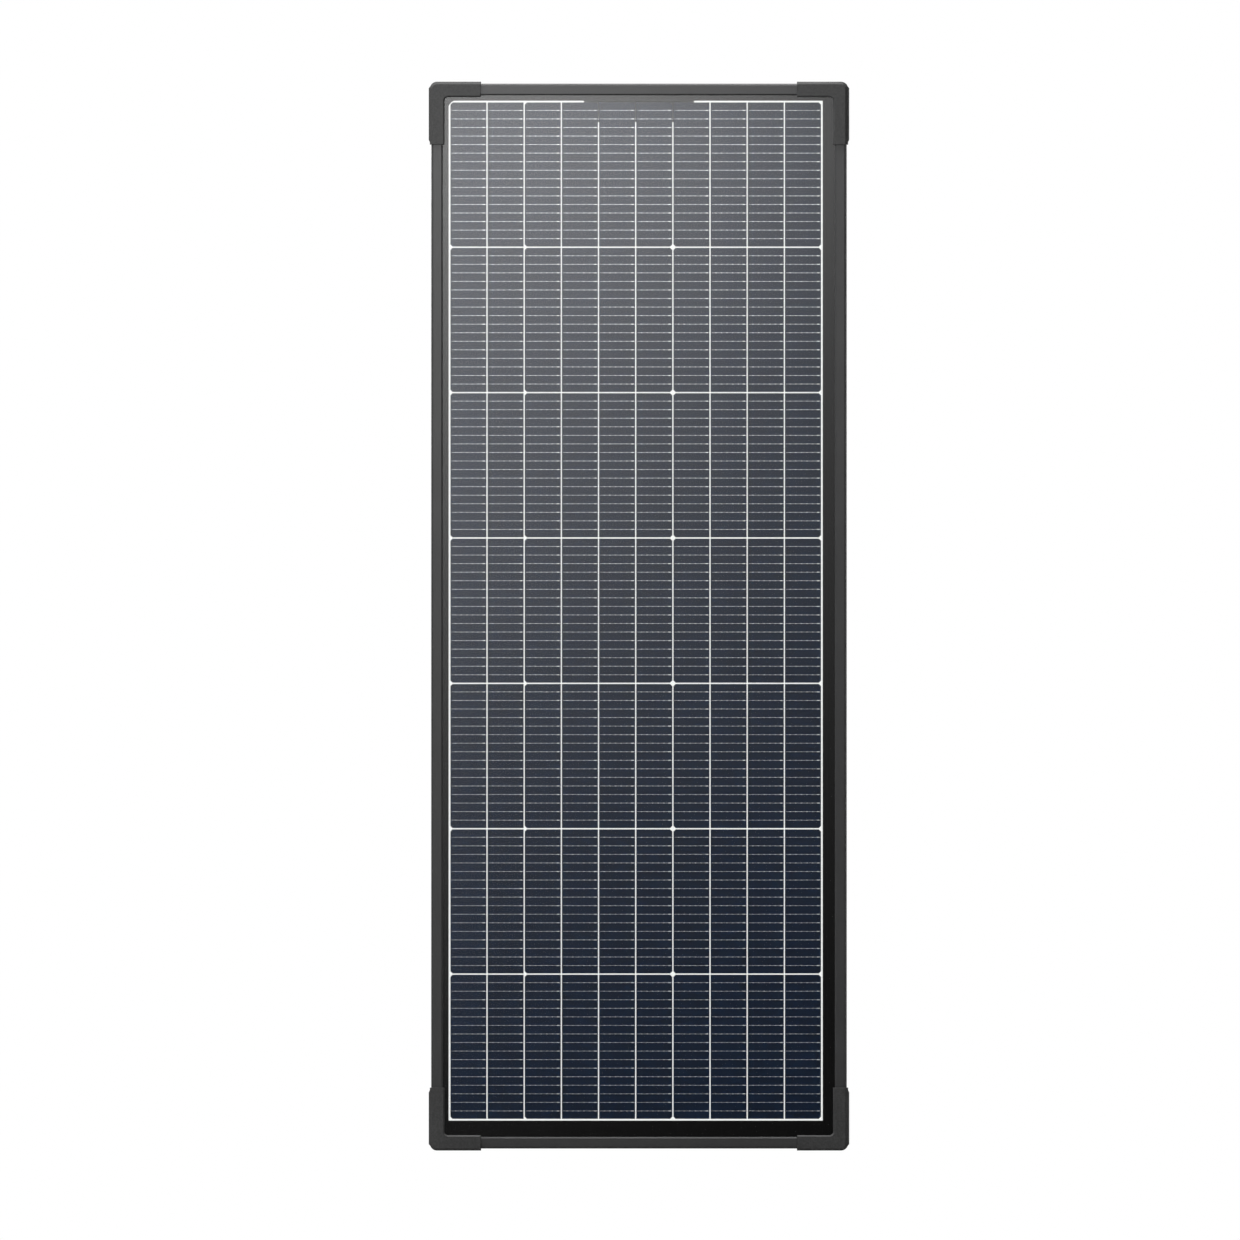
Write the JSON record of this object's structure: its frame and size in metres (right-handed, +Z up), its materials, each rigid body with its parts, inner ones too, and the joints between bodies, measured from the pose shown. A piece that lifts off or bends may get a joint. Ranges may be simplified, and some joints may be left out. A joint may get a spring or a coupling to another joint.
{
  "type": "framed solar panel",
  "caption": "Upright framed glass-glass solar panel with strips of dark cells, clear gaps, moulded corner guards and a rear junction box with a hinged lid.",
  "frame": {"origin": "middle of the plane of the frame's rear flanges, where the panel meets its rack", "axes": "+Z up the panel's long side, +X to the right seen from the front, +Y out of the back; the cells face -Y"},
  "size_m": [0.5308, 0.0346, 1.35],
  "materials": {
    "anodised_frame": "black anodised, fine satin",
    "cast_zinc": "die cast, dull",
    "guard_plastic": "finely textured black moulding",
    "gland_plastic": "moulded black nylon",
    "seal_rubber": "matt black",
    "foam_pad": "closed-cell foam",
    "clear_glass": "low-iron solar glass, finely textured front",
    "border_film": "opaque black film",
    "encapsulant": "clear, cured",
    "silicon": "dark blue anti-reflection coating",
    "tinned_copper": "tinned, satin",
    "box_plastic": "dark grey moulding",
    "pin_steel": "stainless, drawn",
    "brass": "machined",
    "diode_body": "black epoxy"
  },
  "bodies": {
    "panel": {"border_mask": "border_film", "bus_lead_negative": "tinned_copper", "bus_lead_positive": "tinned_copper", "bus_lead_tap": "tinned_copper", "bus_link_1_2": "tinned_copper", "bus_link_2_3": "tinned_copper", "bus_link_3_4": "tinned_copper", "bus_link_4_5": "tinned_copper", "bus_link_5_6": "tinned_copper", "bus_link_6_7": "tinned_copper", "bypass_diode_1": "diode_body", "bypass_diode_2": "diode_body", "cell_string_1": "silicon", "cell_string_2": "silicon", "cell_string_3": "silicon", "cell_string_4": "silicon", "cell_string_5": "silicon", "cell_string_6": "silicon", "cell_string_7": "silicon", "corner_guard_bottom_left": "guard_plastic", "corner_guard_bottom_right": "guard_plastic", "corner_guard_top_left": "guard_plastic", "corner_guard_top_right": "guard_plastic", "corner_key_bottom_left": "cast_zinc", "corner_key_bottom_right": "cast_zinc", "corner_key_top_left": "cast_zinc", "corner_key_top_right": "cast_zinc", "edge_gasket": "seal_rubber", "front_encapsulant": "encapsulant", "front_glass": "clear_glass", "gland_body_left": "gland_plastic", "gland_body_right": "gland_plastic", "gland_bush_left": "seal_rubber", "gland_bush_right": "seal_rubber", "gland_nut_left": "gland_plastic", "gland_nut_right": "gland_plastic", "hinge_pin_left": "pin_steel", "hinge_pin_right": "pin_steel", "junction_base": "box_plastic", "junction_pad": "foam_pad", "lid_seal": "seal_rubber", "rail_bottom": "anodised_frame", "rail_left": "anodised_frame", "rail_right": "anodised_frame", "rail_top": "anodised_frame", "rear_encapsulant": "encapsulant", "rear_glass": "clear_glass", "terminal_negative": "brass", "terminal_positive": "brass", "terminal_tap": "brass"},
    "lid": {"junction_lid": "box_plastic"}
  },
  "joints": [
    {"name": "lid_hinge", "type": "hinge", "parent": "panel", "child": "lid", "pos_m": [0, -0.0046, 0.6485], "axis": [1, 0, 0], "range_deg": [0, 105]}
  ]
}
